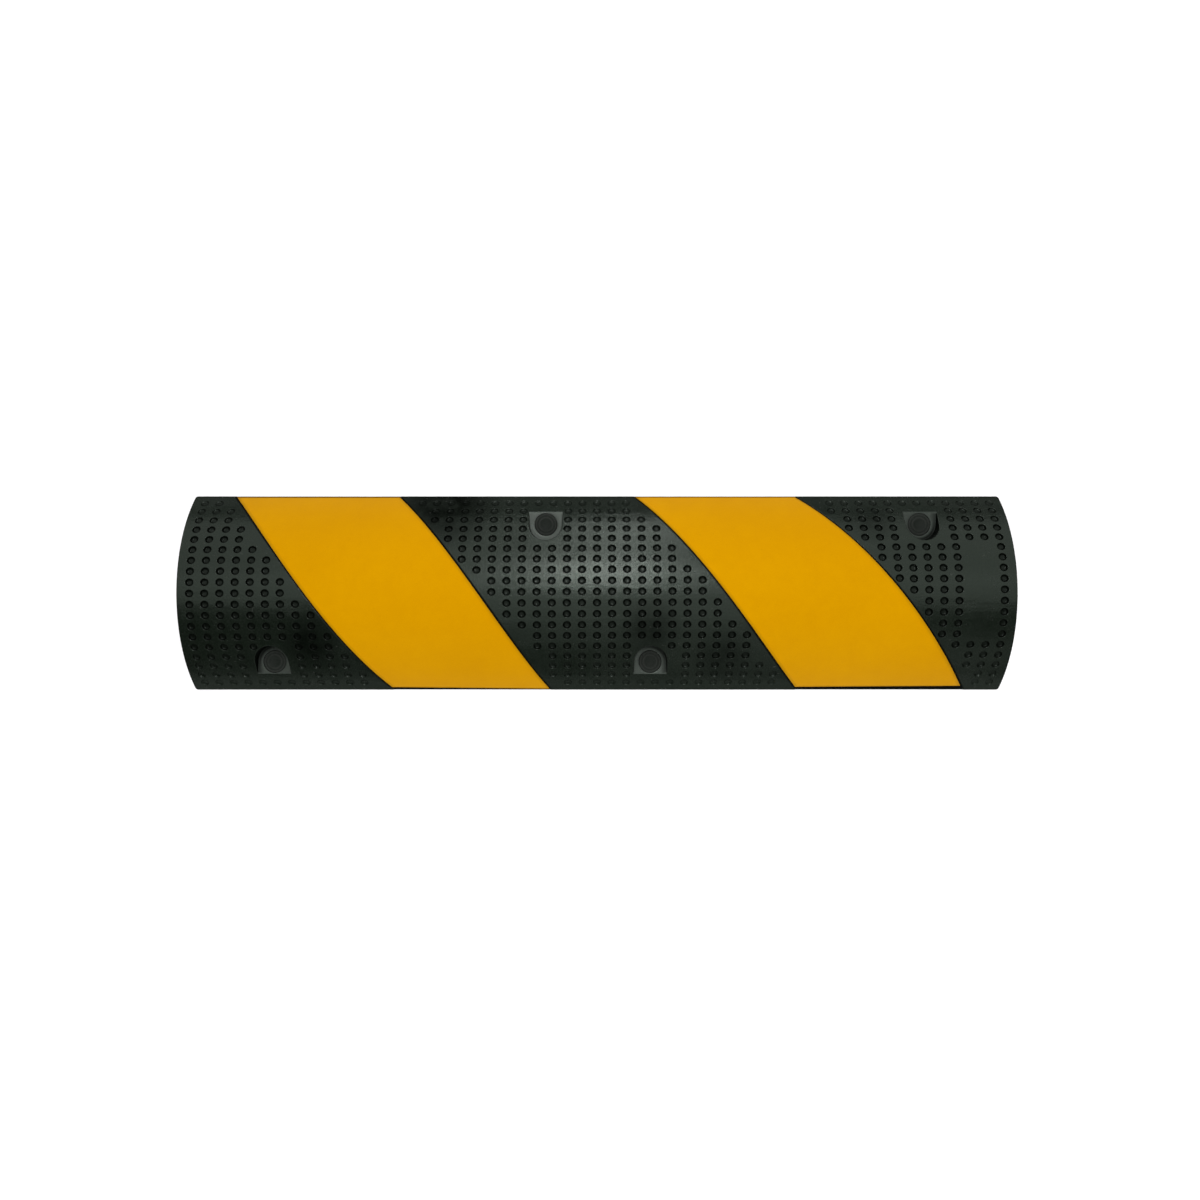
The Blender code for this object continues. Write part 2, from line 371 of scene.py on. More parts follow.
# ------------------------------------------------------------------- the body
def rubber_body(mat):
    sheet = Sheet()
    flat = {}                # vertex number -> (x, s) for those on the top

    def top(x, s, n=0.0, **kw):
        i = sheet.vert(arc(x, s, n), arc_normal(s) if n == 0 else None, **kw)
        flat[i] = (x, s)
        return i

    # sides of the stripe recesses: (outward, height) in mm from the rubber's flat top, over its rounded lip
    # and down to the recess floor, then a painted highlight and wear on the lip and the painted shade of
    # the groove
    profile = [(1.7, 0.0, 0.0, 0.0), (1.05, -0.06, 0.3, 0.35), (0.5, -0.22, 0.4, 0.8),
               (0.15, -0.50, 0.1, 0.95), (0.0, -0.82, 0.0, 1.0), (-0.1, -1.0, 0.0, 1.0)]
    s_in = HALF_ARC - EDGE_ROUND
    rows = np.linspace(-s_in, s_in, 61)
    lines = {}               # (side, which) -> list of rings, each a list of vertices
    for side in ("left", "right"):
        for which in (0, 1):
            sign = -1 if which == 0 else 1
            lines[side, which] = [
                [top(stripe_sides(side, s)[which] + sign * p * MM * TILT, s, n * MM,
                     lip=lip, deep=deep)
                 for s in rows] for p, n, lip, deep in profile]
    for side in ("left", "right"):
        for which in (0, 1):
            rings = lines[side, which]
            for a, b in zip(rings, rings[1:]):
                for k in range(len(rows) - 1):
                    quad = (a[k], b[k], b[k + 1], a[k + 1])
                    sheet.faces.append(quad if which == 0 else quad[::-1])
    floors = {}
    for side in ("left", "right"):
        a, b = lines[side, 0][-1], lines[side, 1][-1]
        cols = [a]
        for t in np.linspace(0, 1, 9)[1:-1]:
            # the recess floor under the film is painted in full shade
            cols.append([top(flat[p][0] * (1 - t) + flat[q][0] * t, flat[p][1], -RECESS, deep=1.0)
                         for p, q in zip(a, b)])
        cols.append(b)
        floors[side] = cols
        for u, v in zip(cols, cols[1:]):
            for k in range(len(rows) - 1):
                sheet.faces.append((u[k], v[k], v[k + 1], u[k + 1]))

    # the outer loop of the top, anticlockwise from the front left corner
    loop, outward = [], []
    rc = 0.0016
    x_in = HALF_L - EDGE_ROUND

    def edge_run(row, s):
        """Vertices of one long edge in order of X, with the recess lines' ends."""
        run = []
        marks = []
        for side in ("left", "right"):
            for ring in lines[side, 0]:
                marks.append(ring[row])
            for col in floors[side][1:-1]:
                marks.append(col[row])
            for ring in reversed(lines[side, 1]):
                marks.append(ring[row])
        spans = [(-x_in + rc, flat[lines["left", 0][0][row]][0]),
                 (flat[lines["left", 1][0][row]][0], flat[lines["right", 0][0][row]][0]),
                 (flat[lines["right", 1][0][row]][0], x_in - rc)]
        fill = []
        for i, (a, b) in enumerate(spans):
            n = max(2, int(ceil((b - a) / 0.008)))
            xs = list(np.linspace(a, b, n + 1))
            xs = xs[(0 if i == 0 else 1):(None if i == 2 else -1)]
            fill.append([top(x, s) for x in xs])
        half = len(marks) // 2
        run = fill[0] + marks[:half] + fill[1] + marks[half:] + fill[2]
        return run

    def corner(cx, cs, a0):
        ids, outs = [], []
        for t in (0.25, 0.5, 0.75):
            a = a0 + t * pi / 2
            ids.append(top(cx + rc * cos(a), cs + rc * sin(a)))
            outs.append((cos(a), sin(a)))
        return ids, outs

    n_end = 40
    front = edge_run(0, -s_in)
    loop += front
    outward += [(0, -1)] * len(front)
    ids, outs = corner(x_in - rc, -s_in + rc, -pi / 2)
    loop += ids
    outward += outs
    right_end = [top(x_in, s) for s in np.linspace(-s_in + rc, s_in - rc, n_end)]
    loop += right_end
    outward += [(1, 0)] * n_end
    ids, outs = corner(x_in - rc, s_in - rc, 0)
    loop += ids
    outward += outs
    rear = edge_run(-1, s_in)[::-1]
    loop += rear
    outward += [(0, 1)] * len(rear)
    ids, outs = corner(-x_in + rc, s_in - rc, pi / 2)
    loop += ids
    outward += outs
    left_end = [top(-x_in, s) for s in np.linspace(s_in - rc, -s_in + rc, n_end)]
    loop += left_end
    outward += [(-1, 0)] * n_end
    ids, outs = corner(-x_in + rc, -s_in + rc, pi)
    loop += ids
    outward += outs

    # over the rounded edge and down to the base; the rounded edge gets a painted highlight and wear in the
    # lip mask
    def n_of(i):
        x, y, z = sheet.co[i]
        return hypot(y, z - CENTRE_Z) - RADIUS

    def skirt(kind):
        ring = []
        for i, (ox, os_) in zip(loop, outward):
            x, s = flat[i]
            n = n_of(i)
            if kind == "a":
                p, lip = arc(x + ox * EDGE_ROUND * 0.5, s + os_ * EDGE_ROUND * 0.5, n - 0.10 * MM), 0.35
            elif kind == "b":
                p, lip = arc(x + ox * EDGE_ROUND * 0.86, s + os_ * EDGE_ROUND * 0.86, n - 0.34 * MM), 0.5
            else:
                fx, fs = x + ox * EDGE_ROUND, s + os_ * EDGE_ROUND
                fy = RADIUS * sin(fs / RADIUS)
                z = arch_z(fy, n)
                p, lip = {
                    "c": ((fx, fy, z - 0.75 * MM), 0.2),
                    "d": ((fx, fy, 0.25 * MM), 0.0),
                    "e": ((fx - 0.25 * MM * ox, fy - 0.25 * MM * os_, 0.0), 0.0),
                }[kind]
            ring.append(sheet.vert(p, lip=lip))
        return ring

    prev = loop
    for kind in "abcde":
        ring = skirt(kind)
        sheet.strip(ring, prev)
        prev = ring
    base_loop = prev

    # dimples
    hole_loops, ellipses = [], []
    places = dimple_places()
    present = set(places)
    for k, j in places:
        cx, cs = dimple_centre(k, j)
        full = DIMPLE_SHALLOW.get(abs(j), 1.0)
        rings = []
        for m, (d, n) in enumerate(DIMPLE_PROFILE):
            ra, rb = DIMPLE_A + d * MM, DIMPLE_B + d * MM
            ring = []
            for i in range(DIMPLE_STEPS):
                a = 2 * pi * (i + 0.5) / DIMPLE_STEPS
                ring.append(top(cx + ra * cos(a), cs + rb * sin(a), n * full * MM,
                                lip=DIMPLE_LIP[m] * full,
                                deep=DIMPLE_SHADE[m] * full * DIMPLE_FRONT_SHADE.get(j, 1.0)))
            rings.append(ring)
        for a, b in zip(rings, rings[1:]):
            sheet.strip(a, b)
        tip = sheet.vert(arc(cx, cs, DIMPLE_DEPTH * full * MM), deep=0.6 * full * DIMPLE_FRONT_SHADE.get(j, 1.0))
        sheet.fan(rings[-1], tip)
        hole_loops.append(rings[0])
        ellipses.append((cx, cs))

    # pockets, from the rim down the wall to the floor and the plug's seat, with a painted highlight and
    # wear on the rim and painted shade down the wall
    pocket_loops, bolt_feet = [], []
    for name in WHERE:
        bx, by = BOLTS[name]
        pts, dirs = pocket_outline(bx, by)
        rings = []
        for m, (d, d_mouth, drop, lip, deep) in enumerate([
                (0.9, 0.9, 0.0, 0.0, 0.0), (0.52, 0.55, 0.07, 0.4, 0.0),
                (0.22, 0.25, 0.25, 0.7, 0.0), (0.04, 0.06, 0.60, 0.3, 0.4),
                (0.0, 0.0, 1.05, 0.0, 0.9), (0.0, -0.04, None, 0.0, 1.0),
                (-0.25, -0.12, None, 0.0, 1.0), (-0.8, -0.28, None, 0.0, 0.85),
                (-2.6, -0.36, None, 0.0, 0.95)]):
            ring = []
            for (x, y), (ox, oy) in zip(pts, dirs):
                h = max(0.0, arch_z(y) - POCKET_FLOOR)
                f = min(1.0, h / 0.0016)
                f = f * f * (3 - 2 * f)
                g = min(1.0, h / 0.002)
                off = (d * f + d_mouth * (1 - f)) * MM
                px, py = x + ox * off, y + oy * off
                z_top = arch_z(py)
                if m == 0:
                    ring.append(top(px, s_of(py)))
                    continue
                if drop is not None:
                    wall = max(z_top - drop * MM * f, POCKET_FLOOR + 0.9 * MM * g)
                else:
                    wall = POCKET_FLOOR + {5: 0.7, 6: 0.18, 7: 0.0, 8: 0.0}[m] * MM * g
                mouth = smooth_min(z_top, POCKET_FLOOR, 0.35 * MM) if m < 7 else POCKET_FLOOR
                z = wall * f + mouth * (1 - f)
                # painted shadow on the floor along the tall wall on the crown side and the side away from
                # the middle
                shade = max(0.0, 0.6 * ox * (1 if bx > 0 else -1) - 0.8 * oy * (1 if by > 0 else -1))
                share = {7: 0.45 + 0.55 * shade, 8: shade}.get(m, 1.0)
                ring.append(sheet.vert((px, py, z), lip=lip, deep=deep * f * share * POCKET_SHADE[name],
                                       floor=POCKET_PALE_AND_LIT[name] if m > 5 else 0.0))
            rings.append(ring)
        for a, b in zip(rings, rings[1:]):
            sheet.strip(a, b)
        pocket_loops.append(rings[0])
        inner = rings[-1]

        turn = 48
        circle = []
        # painted shade fills the seat and the bolt hole below the floor; a painted highlight and wear ring
        # the seat's edge
        for r, z, lip in ((SEAT_R + 0.35 * MM, POCKET_FLOOR, 0.0),
                          (SEAT_R + 0.08 * MM, POCKET_FLOOR - 0.10 * MM, 0.6),
                          (SEAT_R, POCKET_FLOOR - 0.4 * MM, 0.0),
                          (SEAT_R, WASHER_HIGH + GAP, 0.0),
                          (WASHER_R + GAP, WASHER_HIGH + GAP, 0.0),
                          (WASHER_R + GAP, WASHER_LOW - GAP, 0.0),
                          (BOLT_HOLE_R, WASHER_LOW - GAP, 0.0),
                          (BOLT_HOLE_R, 0.4 * MM, 0.0),
                          (BOLT_HOLE_R + 0.4 * MM, 0.0, 0.0)):
            circle.append([sheet.vert((bx + r * cos(2 * pi * i / turn), by + r * sin(2 * pi * i / turn), z),
                                      lip=lip, deep=0.0 if z > 0.019 else 1.0,
                                      floor=POCKET_PALE_AND_LIT[name] if z > 0.019 else 0.0)
                           for i in range(turn)])
        for a, b in zip(circle, circle[1:]):
            sheet.strip(a, b)
        bolt_feet.append(circle[-1])

        ids = inner + circle[0]
        pts2 = [sheet.co[i][:2] for i in ids]
        a_loop = list(range(len(inner)))
        b_loop = list(range(len(inner), len(ids)))
        for t in triangulate(pts2, [a_loop, b_loop]):
            cx = sum(pts2[i][0] for i in t) / 3
            cy = sum(pts2[i][1] for i in t) / 3
            if hypot(cx - bx, cy - by) < SEAT_R + 0.35 * MM * 0.98 - 1e-6:
                continue
            if not inside(np.array([cx]), np.array([cy]), [pts2[i] for i in a_loop])[0]:
                continue
            sheet.faces.append(tuple(ids[i] for i in t))

    # the top between all of those, in three parts
    pocket_polys = [[flat[i] for i in ring] for ring in pocket_loops]
    grid = []
    for u in range(-57, 58):
        for v in range(-21, 22):
            if u % 2 == 0 and v % 2 == 0 and (u // 2, v // 2) in present:
                continue
            grid.append(lattice(u / 2, v / 2))
    grid = np.array(grid)
    gx, gs = grid[:, 0], grid[:, 1]
    keep = (np.abs(gx) < x_in - 0.0035) & (np.abs(gs) < s_in - 0.003)
    for side in ("left", "right"):
        for which in (0, 1):
            line = [flat[i] for i in lines[side, which][0]]
            keep &= near_line(gx, gs, line) > 0.0028
        left = np.array([stripe_sides(side, s)[0] for s in gs])
        right = np.array([stripe_sides(side, s)[1] for s in gs])
        keep &= ~((gx > left) & (gx < right))
    for poly in pocket_polys:
        keep &= ~inside(gx, gs, poly) & (near_line(gx, gs, poly + poly[:1]) > 0.0022)
    grid_ids = [top(x, s) for x, s in grid[keep]]

    loop_set = [i for i in loop if abs(n_of(i)) < 1e-7]
    stations = {
        "left": (None, ("left", 0)), "middle": (("left", 1), ("right", 0)),
        "right": (("right", 1), None)}
    hole_at = np.array(ellipses)
    for region, (west, east) in stations.items():
        west_line = lines[west][0] if west else None
        east_line = lines[east][0] if east else None

        def between(x, s):
            lo = (stripe_sides(west[0], s)[1] + profile[0][0] * MM * TILT) if west else -1
            hi = (stripe_sides(east[0], s)[0] - profile[0][0] * MM * TILT) if east else 1
            return lo + 1e-7 < x < hi - 1e-7

        rim = [i for i in loop_set if between(*flat[i])]
        ids = list(rim)
        if west_line:
            ids += west_line
        if east_line:
            ids += east_line
        ids = list(dict.fromkeys(ids))
        holes = [h for h in hole_loops if between(*flat[h[0]])]
        pockets = [h for h in pocket_loops if between(*flat[h[0]])]
        for h in holes + pockets:
            ids += h
        ids += [i for i in grid_ids if between(*flat[i])]
        number = {i: m for m, i in enumerate(ids)}
        # the region's own outline, anticlockwise
        outline = []
        started = [i for i in loop if i in number]
        if region == "middle":
            front_part = [i for i in started if flat[i][1] < 0]
            rear_part = [i for i in started if flat[i][1] > 0]
            front_part = [i for i in front_part if i not in (west_line[0], east_line[0])]
            rear_part = [i for i in rear_part if i not in (west_line[-1], east_line[-1])]
            outline = [west_line[0]] + front_part + east_line + rear_part + west_line[:0:-1]
        elif region == "left":
            start = loop.index(east_line[-1])
            run = []
            for m in range(1, len(loop)):
                i = loop[(start + m) % len(loop)]
                if i == east_line[0]:
                    break
                run.append(i)
            outline = east_line + run
        else:
            start = loop.index(west_line[0])
            run = []
            for m in range(1, len(loop)):
                i = loop[(start + m) % len(loop)]
                if i == west_line[-1]:
                    break
                run.append(i)
            outline = run + west_line[::-1]
        # joined up on a slightly bent sheet, where no side is exactly straight
        pts2 = [(flat[i][0] + 0.002 * (flat[i][1] / HALF_ARC) ** 2, flat[i][1]) for i in ids]
        loops2 = [[number[i] for i in outline]] + [[number[i] for i in h] for h in holes + pockets]
        tris = triangulate(pts2, loops2)
        arr = np.array(pts2)
        tri = np.array(tris)
        c = arr[tri].mean(1)
        ok = inside(c[:, 0], c[:, 1], [pts2[number[i]] for i in outline])
        for h in pockets:
            ok &= ~inside(c[:, 0], c[:, 1], [pts2[number[i]] for i in h])
        hole_of = {}
        for m, h in enumerate(holes):
            for i in h:
                hole_of[number[i]] = m
        # a triangle with all its corners on one dimple's loop lies in the dimple
        in_hole = np.array([hole_of.get(a, -1) == hole_of.get(b, -2) == hole_of.get(d, -3)
                            for a, b, d in tris])
        ok &= ~in_hole
        for t, good in zip(tris, ok):
            if good:
                sheet.faces.append(tuple(ids[i] for i in t))

    # the underside: cells with rounded upright corners, and the flat base
    cell_loops = []
    for row in (-1, 1):
        for i in range(CELLS_X):
            cx = (i - (CELLS_X - 1) / 2) * CELL_PITCH_X
            cy = row * CELL_CENTRE_Y
            rings = []
            for z, lean, extra in ((0.0, -0.4 * MM, 0.0), (0.4 * MM, 0.0, 0.0),
                                   (CELL_TOP - 2.0 * MM, CELL_DRAFT * 0.94, 0.0),
                                   (CELL_TOP - 0.55 * MM, CELL_DRAFT + 0.3 * MM, 0.0),
                                   (CELL_TOP, CELL_DRAFT + 1.7 * MM, 0.0)):
                hx, hy, r = CELL_X / 2 - lean, CELL_Y / 2 - lean, 4.0 * MM
                ring = []
                for (sx, sy), a0 in zip(((1, 1), (-1, 1), (-1, -1), (1, -1)),
                                        (0, pi / 2, pi, 3 * pi / 2)):
                    for t in range(5):
                        a = a0 + t / 4 * pi / 2
                        ring.append(sheet.vert((cx + sx * (hx - r) + r * cos(a),
                                                cy + sy * (hy - r) + r * sin(a), z)))
                rings.append(ring)
            for a, b in zip(rings, rings[1:]):
                sheet.strip(b, a)
            sheet.faces.append(tuple(reversed(rings[-1])))
            cell_loops.append(rings[0])
    ids = list(base_loop)
    for h in cell_loops + bolt_feet:
        ids += h
    number = {i: m for m, i in enumerate(ids)}
    pts2 = [sheet.co[i][:2] for i in ids]
    tris = triangulate(pts2, [[number[i] for i in h] for h in [base_loop] + cell_loops + bolt_feet])
    arr, tri = np.array(pts2), np.array(tris)
    c = arr[tri].mean(1)
    ok = inside(c[:, 0], c[:, 1], [pts2[number[i]] for i in base_loop])
    for h in cell_loops + bolt_feet:
        ok &= ~inside(c[:, 0], c[:, 1], [pts2[number[i]] for i in h])
    for t, good in zip(tris, ok):
        if good:
            sheet.faces.append(tuple(ids[i] for i in reversed(t)))

    ob = sheet.build("moulded_rubber_body", 52, mat)
    return ob


# ------------------------------------------------------------------ the films
def ripple(x, s, seed):
    """Height of the film's slight waves, in metres."""
    u, v = x * 1000, s * 1000
    h = (0.50 * sin(0.071 * u + 0.043 * v + seed) * sin(0.038 * v - 0.02 * u + 2.1 * seed)
         + 0.30 * sin(0.19 * u - 0.13 * v + 1.7 * seed) * sin(0.16 * v + 0.9 + seed)
         + 0.20 * sin(0.41 * u + 0.29 * v + 3.1 * seed))
    return h * 0.035 * MM


def film(side, mat):
    sheet = Sheet()
    s1 = HALF_ARC - FILM_REAR[side]
    front_left, front_right = FILM_FRONT[side]
    inset = FILM_MARGIN * TILT
    seed = {"left": 0.3, "right": 1.9}[side]
    n_low, n_top = -RECESS + GAP, -FILM_SINK
    ts = list(np.linspace(0, 1, 97))
    us = list(np.linspace(0, 1, 41))
    grid = []
    for t in ts:
        row = []
        for u in us:
            s0 = -HALF_ARC + front_left + (front_right - front_left) * u
            s = s0 + (s1 - s0) * t
            left, right = stripe_sides(side, s)
            left, right = left + inset, right - inset
            x = left + (right - left) * u
            edge = min(x - left, right - x, s - s0, s1 - s)
            fade = min(1.0, max(0.0, edge / 0.006))
            n = n_top - 0.05 * MM + ripple(x, s, seed) * fade - 0.12 * MM * (1 - min(1.0, edge / 0.0006))
            row.append(sheet.vert(arc(x, s, min(n, n_top)), lip=1.0 if edge < 1e-6 else 0.0))
        grid.append(row)
    for a, b in zip(grid, grid[1:]):
        for k in range(len(us) - 1):
            sheet.faces.append((a[k], a[k + 1], b[k + 1], b[k]))
    rim = grid[0] + [r[-1] for r in grid[1:]] + grid[-1][-2::-1] + [r[0] for r in grid[-2:0:-1]]
    low = []
    for i in rim:
        x, y, z = sheet.co[i]
        s = RADIUS * asin(y / hypot(y, z - CENTRE_Z))
        low.append(sheet.vert(arc(x, s, n_low)))
    sheet.strip(low, rim)
    # underside, following the same rows
    under = {}
    for a, b in zip(rim, low):
        under[a] = b
    rows = []
    for r, row in enumerate(grid):
        line = [under[row[0]]]
        if r in (0, len(grid) - 1):
            line = [under[i] for i in row]
        else:
            line.append(under[row[-1]])
        rows.append(line)
    first, last = rows[0], rows[-1]
    for a, b in zip(rows[1:-1], rows[2:-1]):
        sheet.faces.append((a[0], b[0], b[1], a[1]))
    sheet.faces.append(tuple([rows[1][0], rows[1][1]] + first[::-1]))
    sheet.faces.append(tuple([rows[-2][1], rows[-2][0]] + last))
    return sheet.build("reflective_film_" + side, 50, mat)


# ------------------------------------------------------------ turned pieces
def turned(name, profile, x, y, mat, steps=72, sharp=35, lips=()):
    """Closed solid of revolution; the profile is (radius, height) pairs that
    start and end on the axis."""
    sheet = Sheet()
    tip = sheet.vert((x, y, profile[0][1]))
    rings = [[sheet.vert((x + r * cos(2 * pi * k / steps), y + r * sin(2 * pi * k / steps), z),
                         lip=1.0 if m in lips else 0.0)
              for k in range(steps)] for m, (r, z) in enumerate(profile[1:-1])]
    end = sheet.vert((x, y, profile[-1][1]))
    sheet.fan(rings[0], tip)
    for a, b in zip(rings, rings[1:]):
        sheet.strip(b, a)
    sheet.fan(rings[-1][::-1], end)
    return sheet.build(name, sharp, mat)


def plug(name, x, y, mat):
    t = PLUG_TOP
    profile = [(0, t - 1.25 * MM), (2.2 * MM, t - 1.2 * MM), (4.2 * MM, t - 0.95 * MM),
               (5.6 * MM, t - 0.55 * MM), (6.4 * MM, t - 0.22 * MM), (7.1 * MM, t - 0.05 * MM),
               (7.8 * MM, t), (8.9 * MM, t), (9.25 * MM, t - 0.06 * MM), (9.6 * MM, t - 0.32 * MM),
               (10.1 * MM, t - 0.42 * MM), (10.6 * MM, t - 0.32 * MM), (10.95 * MM, t - 0.06 * MM),
               (11.3 * MM, t), (PLUG_R - 1.1 * MM, t), (PLUG_R - 0.55 * MM, t - 0.1 * MM),
               (PLUG_R - 0.15 * MM, t - 0.4 * MM), (PLUG_R, t - 0.9 * MM),
               (PLUG_R, WASHER_HIGH + GAP + 1.2 * MM), (PLUG_R - 0.4 * MM, WASHER_HIGH + GAP + 0.3 * MM),
               (PLUG_R - 0.8 * MM, WASHER_HIGH + GAP), (PLUG_BORE_R + 0.3 * MM, WASHER_HIGH + GAP),
               (PLUG_BORE_R, WASHER_HIGH + GAP + 0.4 * MM), (PLUG_BORE_R, PLUG_CEILING - 0.8 * MM),
               (PLUG_BORE_R - 0.8 * MM, PLUG_CEILING), (0, PLUG_CEILING)]
    return turned(name, profile, x, y, mat, lips=(5, 6, 7, 12, 13, 14))


def washer(name, x, y, mat):
    sheet = Sheet()
    b = 0.3 * MM
    section = [(WASHER_HOLE_R, WASHER_LOW + b), (WASHER_HOLE_R, WASHER_HIGH - b),
               (WASHER_HOLE_R + b, WASHER_HIGH), (WASHER_R - b, WASHER_HIGH),
               (WASHER_R, WASHER_HIGH - b), (WASHER_R, WASHER_LOW + b),
               (WASHER_R - b, WASHER_LOW), (WASHER_HOLE_R + b, WASHER_LOW)]
    steps = 72
    rings = [[sheet.vert((x + r * cos(2 * pi * k / steps), y + r * sin(2 * pi * k / steps), z))
              for k in range(steps)] for r, z in section]
    for i, ring in enumerate(rings):
        sheet.strip(rings[(i + 1) % len(rings)], ring)
    return sheet.build(name, 35, mat)


# ---------------------------------------------------------------- materials
class Nodes:
    """Short hand for a node tree."""

    def __init__(self, name):
        self.mat = bpy.data.materials.new(name)
        self.mat.use_nodes = True
        self.tree = self.mat.node_tree
        self.bsdf = self.tree.nodes["Principled BSDF"]
        self.coord = self.tree.nodes.new("ShaderNodeTexCoord").outputs["Object"]

    def new(self, kind, **settings):
        node = self.tree.nodes.new("ShaderNode" + kind)
        for key, value in settings.items():
            setattr(node, key, value)
        return node

    def put(self, socket, value):
        if isinstance(value, bpy.types.NodeSocket):
            self.tree.links.new(value, socket)
        else:
            socket.default_value = value

    def noise(self, scale, detail=2.0, rough=0.5, coord=None, distort=0.0):
        node = self.new("TexNoise")
        self.put(node.inputs["Vector"], coord or self.coord)
        self.put(node.inputs["Scale"], scale)
        self.put(node.inputs["Detail"], detail)
        self.put(node.inputs["Roughness"], rough)
        self.put(node.inputs["Distortion"], distort)
        return node.outputs["Fac"]

    def voronoi(self, scale, feature="F1", coord=None, out="Distance"):
        node = self.new("TexVoronoi", feature=feature)
        self.put(node.inputs["Vector"], coord or self.coord)
        self.put(node.inputs["Scale"], scale)
        return node.outputs[out]

    def stretch(self, x, y, z):
        node = self.new("Mapping")
        self.put(node.inputs["Vector"], self.coord)
        self.put(node.inputs["Scale"], (x, y, z))
        return node.outputs["Vector"]

    def span(self, value, lo, hi, to_lo=0.0, to_hi=1.0):
        node = self.new("MapRange", clamp=True)
        self.put(node.inputs["Value"], value)
        self.put(node.inputs["From Min"], lo)
        self.put(node.inputs["From Max"], hi)
        self.put(node.inputs["To Min"], to_lo)
        self.put(node.inputs["To Max"], to_hi)
        return node.outputs["Result"]

    def math(self, op, a, b=0.0, clamp=False):
        node = self.new("Math", operation=op, use_clamp=clamp)
        self.put(node.inputs[0], a)
        self.put(node.inputs[1], b)
        return node.outputs[0]

    def mix(self, fac, a, b):
        node = self.new("Mix", data_type="RGBA")
        self.put(node.inputs["Factor"], fac)
        self.put(node.inputs["A"], a)
        self.put(node.inputs["B"], b)
        return node.outputs["Result"]

    def attribute(self, name):
        node = self.new("Attribute", attribute_name=name)
        return node.outputs["Fac"]

    def blots(self, spots):
        total = 0.0
        for centre, radius, strength in spots:
            node = self.new("VectorMath", operation="DISTANCE")
            self.put(node.inputs[0], self.coord)
            self.put(node.inputs[1], centre)
            total = self.math("MAXIMUM", total,
                              self.span(node.outputs["Value"], 0.25 * radius, radius, strength, 0.0))
        return total

    def bump(self, height, distance, strength=1.0, normal=None):
        node = self.new("Bump")
        self.put(node.inputs["Height"], height)
        self.put(node.inputs["Distance"], distance)
        self.put(node.inputs["Strength"], strength)
        if normal is not None:
            self.put(node.inputs["Normal"], normal)
        return node.outputs["Normal"]


def rgb(r, g, b):
    return (r, g, b, 1.0)


def rubber_material():
    m = Nodes("moulded_rubber")
    broad = m.noise(7.0, 3.0, 0.55)
    patch = m.noise(38.0, 3.0, 0.6, distort=0.3)
    fine = m.noise(420.0, 3.0, 0.6)
    grain = m.noise(1500.0, 2.0, 0.6)
    crumbs = m.voronoi(520.0)
    flow = m.noise(30.0, 3.0, 0.55, coord=m.stretch(0.35, 1.6, 1.6), distort=0.6)
    base = m.mix(m.span(broad, 0.35, 0.65), rgb(0.0028, 0.0056, 0.0030), rgb(0.0042, 0.0070, 0.0042))
    base = m.mix(m.span(patch, 0.40, 0.70, 0.0, 0.55), base, rgb(0.0075, 0.0108, 0.0075))
    base = m.mix(m.span(fine, 0.45, 0.75, 0.0, 0.30), base, rgb(0.015, 0.018, 0.015))
    floor = m.attribute("floor")
    # dark patches: a darker colour and a weaker reflection, the largest one painted shade
    dark_patch = m.math("MULTIPLY", m.blots(DARK_PATCHES), m.span(patch, 0.30, 0.55, 0.45, 1.0))
    base = m.mix(dark_patch, base, rgb(0.0012, 0.0020, 0.0012))
    # pocket floors: paler rubber, with painted light in the rear-middle pocket
    base = m.mix(m.math("MULTIPLY", floor, 0.9), base, rgb(0.052, 0.058, 0.052))
    lip = m.attribute("lip")
    deep = m.attribute("deep")
    # the lips: rubbed pale, and a painted highlight
    worn_and_highlight = m.math("MULTIPLY", lip, m.span(m.noise(160.0, 3.0), 0.30, 0.62, 0.35, 1.0))
    base = m.mix(m.math("MULTIPLY", worn_and_highlight, 0.4), base, rgb(0.030, 0.034, 0.029))
    # painted shade: the deep mask darkens the colour nearly to black
    base = m.mix(m.math("MULTIPLY", deep, 0.95), base, rgb(0.0012, 0.0016, 0.0012))
    specks = m.span(m.noise(260.0, 1.0, 0.4), 0.72, 0.79, 0.0, 0.20)
    base = m.mix(specks, base, rgb(0.08, 0.08, 0.075))
    m.put(m.bsdf.inputs["Base Color"], base)
    rough = m.span(m.math("ADD", m.math("MULTIPLY", patch, 0.6), m.math("MULTIPLY", fine, 0.4)),
                   0.3, 0.7, 0.20, 0.29)
    rough = m.math("ADD", rough, m.math("MULTIPLY", floor, 0.12))
    m.put(m.bsdf.inputs["Roughness"], rough)
    # the reflection is dimmed by the painted shade and by the dark patches
    m.put(m.bsdf.inputs["Specular IOR Level"],
          m.math("MULTIPLY", m.math("MULTIPLY",
                                    m.math("SUBTRACT", 1.0, m.math("MULTIPLY", deep, 0.85)),
                                    m.math("SUBTRACT", 1.0, m.math("MULTIPLY", dark_patch, 0.85))), 0.42))
    m.put(m.bsdf.inputs["Specular Tint"], rgb(0.84, 1.0, 0.86))
    n = m.bump(flow, 0.0012, 0.35)
    n = m.bump(fine, 0.00022, 0.6, n)
    n = m.bump(crumbs, 0.00008, 0.5, n)
    n = m.bump(grain, 0.00005, 0.5, n)
    m.put(m.bsdf.inputs["Normal"], n)
    return m.mat


